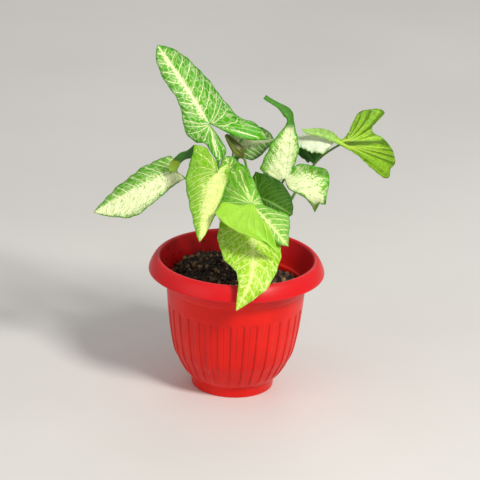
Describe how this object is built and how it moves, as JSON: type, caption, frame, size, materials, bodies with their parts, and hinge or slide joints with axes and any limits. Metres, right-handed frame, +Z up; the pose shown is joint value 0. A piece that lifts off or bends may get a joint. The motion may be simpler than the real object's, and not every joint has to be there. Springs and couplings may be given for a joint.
{
  "type": "potted syngonium",
  "caption": "Arrowhead plant in a fluted round pot: folded, arrow-shaped variegated leaves on slender petioles rise from soil inside a tapered pot with a rolled rim.",
  "frame": {"origin": "middle of the pot's flat base, on the plane it stands on", "axes": "+Z up along the pot's axis, -Y towards the front, where the lowest leaf hangs over the rim, +X towards the leaf that reaches furthest out"},
  "size_m": [0.2564, 0.1624, 0.2972],
  "materials": {
    "pot": "moulded red plastic, semi-gloss",
    "soil": "dark crumbly potting soil",
    "stem": "smooth green stalk",
    "leaf_green": "satin leaf, bright green with white veins",
    "leaf_pale": "satin leaf, cream to pale green with green margins",
    "leaf_yellow": "satin leaf, yellow-green with cream veins",
    "leaf_dark": "satin leaf, dark green with grey-green veins",
    "leaf_young": "young rolled leaf, brownish yellow-green"
  },
  "bodies": {
    "root": {"pot": "pot", "soil": "soil", "shoot_left": "stem", "shoot_front": "stem", "shoot_right": "stem", "shoot_back": "stem", "leaf_tall": "leaf_green", "leaf_left": "leaf_pale", "leaf_hanging": "leaf_yellow", "leaf_centre": "leaf_yellow", "leaf_front": "leaf_yellow", "leaf_shaded": "leaf_dark", "leaf_right": "leaf_pale", "leaf_shell": "leaf_pale", "leaf_far_right": "leaf_yellow", "leaf_behind": "leaf_green", "leaf_small": "leaf_green", "leaf_furled": "leaf_young"}
  },
  "joints": []
}
